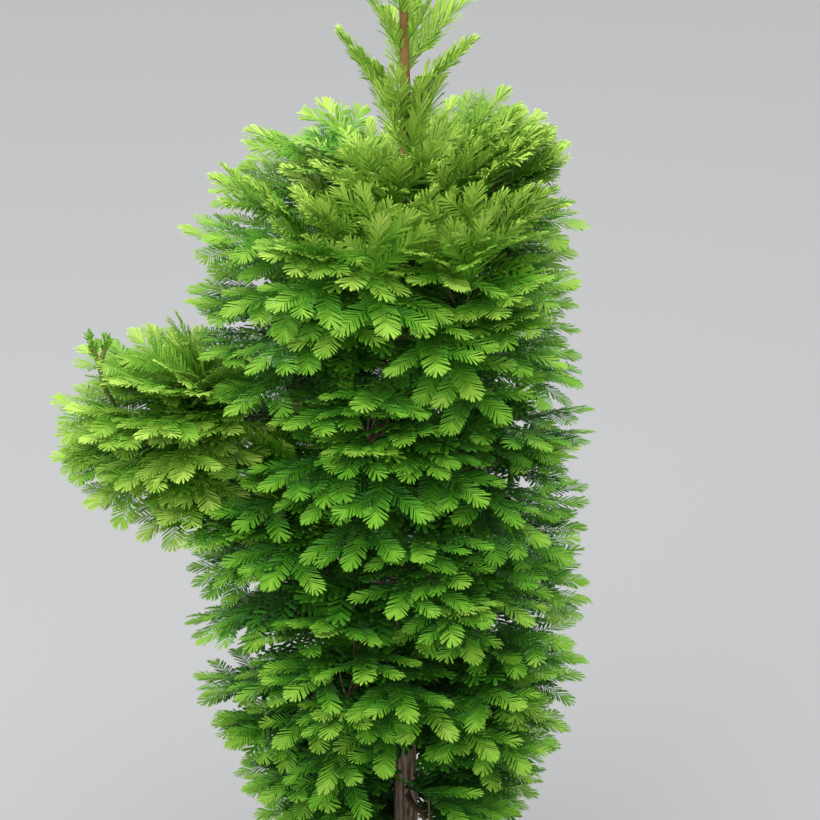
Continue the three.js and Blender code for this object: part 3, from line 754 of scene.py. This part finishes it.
def needleArrays():
    rows = {key: np.array([spray[key] for spray in sprays]) for key in sprays[0]}
    which, order, u = needlePlaces(rows)
    # the last needles crowd at the tip, where they open like a hand
    body = np.minimum(u / (1 - needleRow["tipShare"]), 1)
    fanned = np.clip((u - 1 + needleRow["tipShare"]) / needleRow["tipShare"], 0, 1)
    share = body * (1 - needleRow["tipRun"]) + fanned * needleRow["tipRun"]
    hand = np.where(order % 2, 1.0, -1.0)[:, None]
    root, way, side, over = (rows[key][which] for key in ("root", "way", "side", "over"))
    length, sag, press, whorl = (rows[key][which][:, None] for key in ("length", "sag", "press", "whorl"))
    foot = root + way * length * share - over * sag * length * share ** 2
    axis = unit(way - over * 2 * sag * share)
    above = np.cross(side, axis)
    # needles lie nearly flat to either side and fan forward at the tip, or press forward and stand all round
    flat = needleTurn["foot"] - needleTurn["body"] * body - needleTurn["tip"] * fanned
    pressed = needleTurn["pressedFoot"] - needleTurn["pressedTip"] * share
    forward = np.radians(lerp(flat, pressed, press) + dice.normal(0, needleTurn["stray"], share.shape))
    vee = lerp(needleTurn["vee"], needleTurn["pressedVee"], press)
    vee = vee + dice.normal(0, needleTurn["veeStray"], share.shape)
    raised = np.radians(vee + whorl * dice.uniform(-needleTurn["whorl"], needleTurn["whorl"], share.shape))
    out = side * hand * np.cos(raised) + above * np.sin(raised)
    heading = axis * np.cos(forward) + out * np.sin(forward)
    across = out * np.cos(forward) - axis * np.sin(forward)
    face = np.cross(across, heading)
    flip = np.where(np.sum(face * above, axis=1) < 0, -1.0, 1.0)[:, None]
    across, face = across * flip, face * flip
    # shorter at a spray's foot and tip, and on short sprays
    size = lerp(needle["footSize"], 1, smoothStep(0, needle["fullFrom"], share))
    size = size * (1 - lerp(needle["tipShorter"], needle["pressedShorter"], press) * fanned)
    reach = needle["length"] * size * dice.uniform(*needle["lengths"], share.shape)
    reach = reach * np.clip(needle["shortSpray"] + length * needle["sprayGain"], needle["smallest"], 1)
    reach = reach * rows["size"][which][:, None]
    width = np.where(rows["isInner"][which][:, None], needle["innerWidth"], needle["width"])
    wide = width / 2 * dice.uniform(*needle["widths"], share.shape)
    shoulder = foot + heading * reach * needle["shoulder"]
    points = np.stack((
        foot - across * wide * needle["footWidth"],
        foot + across * wide * needle["footWidth"],
        shoulder - across * wide,
        shoulder + across * wide,
        shoulder + face * needle["thick"],
        foot + heading * reach - face * reach * needle["droop"],
    ), axis=1)
    return points, needleLightness(rows, which, share[:, 0])


def needleLightness(rows, which, along):  # lighter towards a spray's tip, and dealt out by spray
    light = lerp(rows["old"][which], rows["fresh"][which], smoothStep(needleLight["freshFrom"], 1.0, along))
    ownSpray = dice.normal(0, needleLight["sprayStray"], len(sprays))[which]
    light += needleLight["tip"] * smoothStep(needleLight["tipFrom"], 1, along) + ownSpray
    light += dice.normal(0, needleLight["stray"], len(which))
    return np.maximum(light, 0)


def plainLeafMaterial(name, colour):
    return plainMaterial(name, {"Base Color": (*colour, 1), **leafFinish})


def makeNeedles(nodes):
    points, light = needleArrays()
    corners = points.shape[1]
    edges = [tone[2] for tone in tones] + [math.inf]
    for (name, colour, low), high in zip(tones, edges[1:]):
        chosen = points[(light >= low) & (light < high)]
        faces = needleFacets[None] + (np.arange(len(chosen)) * corners)[:, None, None]
        mesh = meshFromArrays(name, chosen.reshape(-1, 3), [faces.reshape(-1, 3)])
        mesh.shade_flat()
        addPiece(mesh, plainLeafMaterial(name, colour), nodes)
        print(name, len(chosen), "needles", len(mesh.polygons), "triangles")


# bark

fineFibre = {"Detail": 6, "Roughness": 0.62}
broadPatch = {"Scale": 60, "Detail": 3}
barkFinish = dict(specular=0.25, furrowAt=0.34, stripAt=0.5, ridgeAt=0.68, furrowRoughness=0.95,
                  ridgeRoughness=0.62, bumpDepth=0.0006)
oldBark = dict(across=420, stretch=0.07, furrow=(0.045, 0.028, 0.02), strip=(0.2, 0.14, 0.098),
               ridge=(0.4, 0.32, 0.24), young=(0.23, 0.1, 0.035), youngPatch=(0.17, 0.12, 0.035),
               oldBelow=0.3, youngAbove=0.6, bump=0.7)
youngBark = dict(across=500, stretch=0.5, furrow=(0.03, 0.02, 0.012), strip=(0.085, 0.055, 0.03),
                 ridge=(0.14, 0.1, 0.06), young=(0.11, 0.085, 0.035), youngPatch=(0.09, 0.1, 0.03),
                 oldBelow=0.3, youngAbove=0.62, bump=0.4)


def fibreGroup():  # long fibres along +Z, shared by every bark
    group = bpy.data.node_groups.new("fibre", "ShaderNodeTree")
    group.interface.new_socket("Across", in_out="INPUT", socket_type="NodeSocketFloat")
    group.interface.new_socket("Stretch", in_out="INPUT", socket_type="NodeSocketFloat")
    group.interface.new_socket("Fibre", in_out="OUTPUT", socket_type="NodeSocketFloat")
    group.interface.new_socket("Patch", in_out="OUTPUT", socket_type="NodeSocketFloat")
    nodes, links = group.nodes, group.links
    inside, outside = nodes.new("NodeGroupInput"), nodes.new("NodeGroupOutput")
    place = nodes.new("ShaderNodeTexCoord")
    long = nodes.new("ShaderNodeCombineXYZ")
    long.inputs["X"].default_value = long.inputs["Y"].default_value = 1
    links.new(inside.outputs["Stretch"], long.inputs["Z"])
    drawn = nodes.new("ShaderNodeVectorMath")
    drawn.operation = "MULTIPLY"
    links.new(place.outputs["Object"], drawn.inputs[0])
    links.new(long.outputs["Vector"], drawn.inputs[1])
    fine = setInputs(nodes.new("ShaderNodeTexNoise"), fineFibre)
    links.new(drawn.outputs["Vector"], fine.inputs["Vector"])
    links.new(inside.outputs["Across"], fine.inputs["Scale"])
    broad = setInputs(nodes.new("ShaderNodeTexNoise"), broadPatch)
    links.new(place.outputs["Object"], broad.inputs["Vector"])
    links.new(fine.outputs["Fac"], outside.inputs["Fibre"])
    links.new(broad.outputs["Fac"], outside.inputs["Patch"])
    return group


def barkMaterial(name, group, finish):
    material = plainMaterial(name, {"Specular IOR Level": barkFinish["specular"]})
    nodes, links = material.node_tree.nodes, material.node_tree.links
    shader = nodes["Principled BSDF"]
    fibre = nodes.new("ShaderNodeGroup")
    fibre.node_tree = group
    setInputs(fibre, {"Across": finish["across"], "Stretch": finish["stretch"]})
    strips = nodes.new("ShaderNodeValToRGB")
    ramp = strips.color_ramp.elements
    ramp[0].position = barkFinish["furrowAt"]
    ramp[0].color = (*finish["furrow"], 1)
    ramp[1].position = barkFinish["ridgeAt"]
    ramp[1].color = (*finish["ridge"], 1)
    ramp.new(barkFinish["stripAt"]).color = (*finish["strip"], 1)
    links.new(fibre.outputs["Fibre"], strips.inputs["Fac"])
    # younger, smoother and redder bark higher up
    place = nodes.new("ShaderNodeTexCoord")
    parts = nodes.new("ShaderNodeSeparateXYZ")
    links.new(place.outputs["Object"], parts.inputs["Vector"])
    height = setInputs(nodes.new("ShaderNodeMapRange"),
                       {"From Min": finish["oldBelow"], "From Max": finish["youngAbove"]})
    links.new(parts.outputs["Z"], height.inputs["Value"])
    patched = nodes.new("ShaderNodeMix")
    patched.data_type = "RGBA"
    setInputs(patched, {"A": (*finish["young"], 1), "B": (*finish["youngPatch"], 1)})
    links.new(fibre.outputs["Patch"], patched.inputs["Factor"])
    colour = nodes.new("ShaderNodeMix")
    colour.data_type = "RGBA"
    links.new(height.outputs["Result"], colour.inputs["Factor"])
    links.new(strips.outputs["Color"], colour.inputs["A"])
    links.new(patched.outputs["Result"], colour.inputs["B"])
    links.new(colour.outputs["Result"], shader.inputs["Base Color"])
    rough = setInputs(nodes.new("ShaderNodeMapRange"),
                      {"To Min": barkFinish["furrowRoughness"], "To Max": barkFinish["ridgeRoughness"]})
    links.new(fibre.outputs["Fibre"], rough.inputs["Value"])
    links.new(rough.outputs["Result"], shader.inputs["Roughness"])
    bump = setInputs(nodes.new("ShaderNodeBump"),
                     {"Strength": finish["bump"], "Distance": barkFinish["bumpDepth"]})
    links.new(fibre.outputs["Fibre"], bump.inputs["Height"])
    links.new(bump.outputs["Normal"], shader.inputs["Normal"])
    return material


trunkSkin = dict(sides=72, steps=300, stepPower=1.15, tipCap=0.0012, across=420, along=36,
                 furrowDepth=0.0009, furrowWidth=4.5, fineDepth=0.0003, fineTimes=2.7,
                 fineShift=Vector((7, 3, 1)), oldBelow=0.05, youngAbove=0.62, youngShare=0.2)


def barkRelief(spot, z):  # how far the bark stands in or out: split strips at the foot, smooth on the leader
    age = float(smoothStep(trunkSkin["youngAbove"], trunkSkin["oldBelow"], z))
    strip = Vector((spot.x * trunkSkin["across"], spot.y * trunkSkin["across"], z * trunkSkin["along"]))
    furrow = 1 - min(1, abs(noise.noise(strip)) * trunkSkin["furrowWidth"])
    fine = noise.noise(strip * trunkSkin["fineTimes"] + trunkSkin["fineShift"])
    relief = fine * trunkSkin["fineDepth"] - furrow * furrow * trunkSkin["furrowDepth"]
    return lerp(trunkSkin["youngShare"], 1, age) * relief


def makeTrunk(material):
    mesh = bmesh.new()
    ring = bmesh.ops.create_circle(mesh, cap_ends=True, segments=trunkSkin["sides"], radius=1)["verts"]
    edges = list(mesh.edges)
    order = {vert: math.atan2(vert.co.y, vert.co.x) for vert in ring}
    for step in range(trunkSkin["steps"] + 1):
        z = trunk["height"] * (step / trunkSkin["steps"]) ** trunkSkin["stepPower"]
        centre = trunkCentre(z)
        flare = math.exp(-z / trunk["flareHeight"])
        for vert, turn in order.items():
            radius = trunkRadius(z) * (1 + trunk["lobeDepth"] * flare * math.cos(trunk["flareLobes"] * turn))
            spot = Vector((math.cos(turn), math.sin(turn), 0)) * trunkRadius(z)
            radius += barkRelief(spot, z)
            vert.co = Vector((centre[0] + radius * math.cos(turn), centre[1] + radius * math.sin(turn), z))
        if step == trunkSkin["steps"]:
            break
        grown = bmesh.ops.extrude_edge_only(mesh, edges=edges)["geom"]
        edges = [item for item in grown if isinstance(item, bmesh.types.BMEdge)]
        newVerts = [item for item in grown if isinstance(item, bmesh.types.BMVert)]
        order = {vert: math.atan2(vert.co.y - centre[1], vert.co.x - centre[0]) for vert in newVerts}
    tip = bmesh.ops.contextual_create(mesh, geom=list(order))["faces"]
    bmesh.ops.poke(mesh, faces=tip, offset=trunkSkin["tipCap"])
    bmesh.ops.recalc_face_normals(mesh, faces=mesh.faces)
    data = bpy.data.meshes.new("trunkBark")
    mesh.to_mesh(data)
    mesh.free()
    data.shade_smooth()
    addPiece(data, material, ["trunk"])
    print("trunk", len(data.polygons), "faces")


boughSkin = dict(sides=12, steps=14, knots=160, knotSize=0.00035, fine=520, fineSize=0.00018, turns=90,
                 nudge=1e-6)
stemSkin = dict(sides=5, steps=4, tipRadius=0.0008)


def makeBoughs(limbs, material):
    noise.seed_set(seed)  # without it noise_vector changes from run to run
    points, faces = tubeArrays([limb["curve"] for limb in limbs], [limb["thick"] for limb in limbs],
                               [limb["thin"] for limb in limbs], boughSkin["sides"], boughSkin["steps"])
    for index, point in enumerate(points):
        knot = noise.noise(Vector(point) * boughSkin["knots"]) * boughSkin["knotSize"]
        knot += noise.noise(Vector(point) * boughSkin["fine"]) * boughSkin["fineSize"]
        way = np.array(noise.noise_vector(Vector(point) * boughSkin["turns"])) + boughSkin["nudge"]
        points[index] = point + knot * unit(way)
    mesh = meshFromArrays("boughs", points, faces)
    mesh.shade_smooth()
    addPiece(mesh, material, [limb["name"] for limb in limbs])
    print("boughs", len(limbs))


def makeStems(limbs, material, nodes):
    stems = [(limb["stem"], limb["thin"], stemSkin["tipRadius"]) for limb in limbs if limb["mass"]]
    curves, thick, thin = zip(*(stems + twigs))
    addPiece(tubeMesh("stemsAndTwigs", curves, thick, thin, stemSkin), material, nodes)
    print("stems", len(stems), "twigs", len(twigs))


def makeGreenStems(nodes):
    thick = np.full(len(greenStems), uprights["radius"])
    mesh = tubeMesh("greenStems", greenStems, thick, thick * uprights["taper"], uprights)
    addPiece(mesh, plainLeafMaterial("greenStem", uprights["colour"]), nodes)
    print("green stems", len(greenStems))


ribShape = dict(below=0.00025, thick=0.00045, thin=0.00018, sides=3, steps=2)
# the inner ribs' darker green is painted shade
ribs = [  # name, base colour, and whether they carry the crown's inner sprays
    ("sprayRibs", (0.085, 0.26, 0.011), False),
    ("innerRibs", (0.02, 0.1, 0.003), True),
]


def makeRibs(nodes):  # the green axis of every spray
    for name, colour, isInner in ribs:
        kind = [spray for spray in sprays if spray["isInner"] == isInner]
        curves = [ribOf(spray) - spray["over"] * ribShape["below"] for spray in kind]
        thick, thin = np.full(len(kind), ribShape["thick"]), np.full(len(kind), ribShape["thin"])
        mesh = tubeMesh(name, curves, thick, thin, ribShape)
        addPiece(mesh, plainLeafMaterial(name, colour), nodes)
        print(name, len(kind))


# studio: floor, soft light and the camera

studio = dict(floorSize=6, floorColour=(0.27, 0.27, 0.275), floorRoughness=0.9, skyColour=(0.98, 0.99, 1.0),
              skyStrength=1.55, aim=Vector((0, 0, 0.4)))
lamps = [  # each looks at the crown's middle
    dict(name="overhead", place=(-0.2, -0.5, 2.7), size=2.4, power=58),
    dict(name="front", place=(-1.4, -2.2, 2.0), size=1.8, power=36),
]
camera = dict(place=(0.005, -1.5947, 1.0736), pitch=22.5, lens=122.2, sensor=36)


def makeFloor():
    mesh = bmesh.new()
    bmesh.ops.create_grid(mesh, x_segments=1, y_segments=1, size=studio["floorSize"])
    data = bpy.data.meshes.new("floor")
    mesh.to_mesh(data)
    mesh.free()
    floor = bpy.data.objects.new("floor", data)
    bpy.context.collection.objects.link(floor)
    finish = {"Base Color": (*studio["floorColour"], 1), "Roughness": studio["floorRoughness"]}
    data.materials.append(plainMaterial("paleFloor", finish))


def makeLight():
    world = bpy.data.worlds.new("softSky")
    world.use_nodes = True
    setInputs(world.node_tree.nodes["Background"],
              {"Color": (*studio["skyColour"], 1), "Strength": studio["skyStrength"]})
    bpy.context.scene.world = world
    for lamp in lamps:
        light = bpy.data.lights.new(lamp["name"], "AREA")
        light.energy = lamp["power"]
        light.size = lamp["size"]
        holder = bpy.data.objects.new(lamp["name"], light)
        holder.location = lamp["place"]
        aim = studio["aim"] - holder.location
        holder.rotation_euler = aim.to_track_quat("-Z", "Y").to_euler()
        bpy.context.collection.objects.link(holder)


def makeCamera():
    lens = bpy.data.cameras.new("camera")
    lens.lens = camera["lens"]
    lens.sensor_width = camera["sensor"]
    eye = bpy.data.objects.new("camera", lens)
    eye.location = camera["place"]
    eye.rotation_euler = (math.radians(90 - camera["pitch"]), 0, 0)
    bpy.context.collection.objects.link(eye)
    bpy.context.scene.camera = eye
    bpy.context.scene.view_settings.view_transform = "Standard"


makeFloor()
makeLight()
makeCamera()
column, arms, shoots = growCrown()
masses = [limb["mass"] for limb in column + arms + shoots if limb["mass"]]
fibre = fibreGroup()
makeTrunk(barkMaterial("oldBark", fibre, oldBark))
woody = barkMaterial("youngBark", fibre, youngBark)
makeBoughs(column + arms, woody)
makeStems(column + arms, woody, masses)
makeGreenStems(["arm_foliage_end"])
makeRibs(masses)
makeNeedles(masses)
